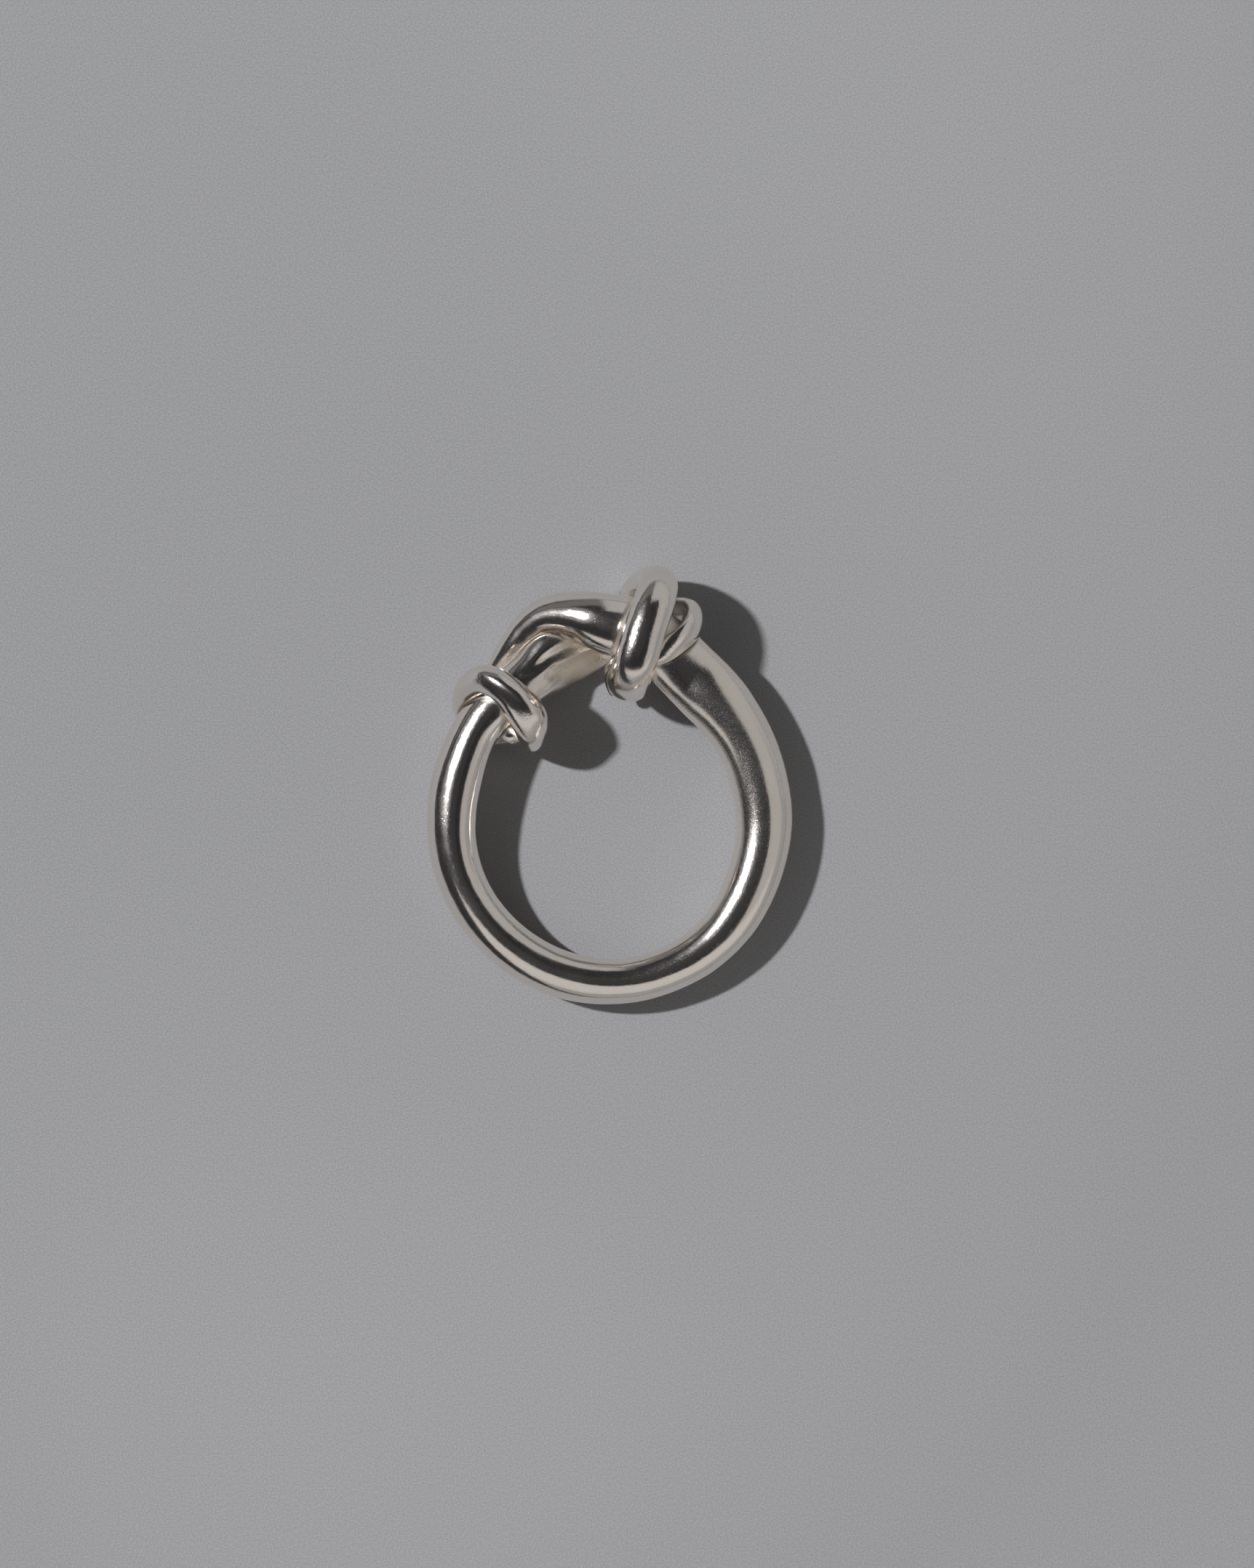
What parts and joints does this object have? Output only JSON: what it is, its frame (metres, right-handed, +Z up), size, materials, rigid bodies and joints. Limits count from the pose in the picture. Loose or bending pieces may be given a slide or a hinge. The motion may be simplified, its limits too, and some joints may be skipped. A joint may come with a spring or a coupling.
{
  "type": "knotted finger ring",
  "caption": "Polished silver finger ring: tapered rods form a round shank that ends in overhand knots joined by crossing strands.",
  "frame": {"origin": "centre of the ring's own box, on the surface that the ring lies on", "axes": "+Z up through the finger hole, +Y from the shank's low side towards the knots, +X from the left knot towards the right knot"},
  "size_m": [0.0234, 0.028, 0.0072],
  "materials": {
    "polished_silver": "high polish with a faint hammered ripple, fine pits and hairline scratches"
  },
  "bodies": {
    "root": {"hoop_shank": "polished_silver", "inner_strand": "polished_silver", "outer_strand": "polished_silver", "right_knot_front_turn": "polished_silver", "right_knot_back_turn": "polished_silver", "right_knot_loop": "polished_silver", "right_knot_tail": "polished_silver", "left_knot_back_turn": "polished_silver", "left_knot_front_turn": "polished_silver", "left_knot_tail": "polished_silver"}
  },
  "joints": []
}
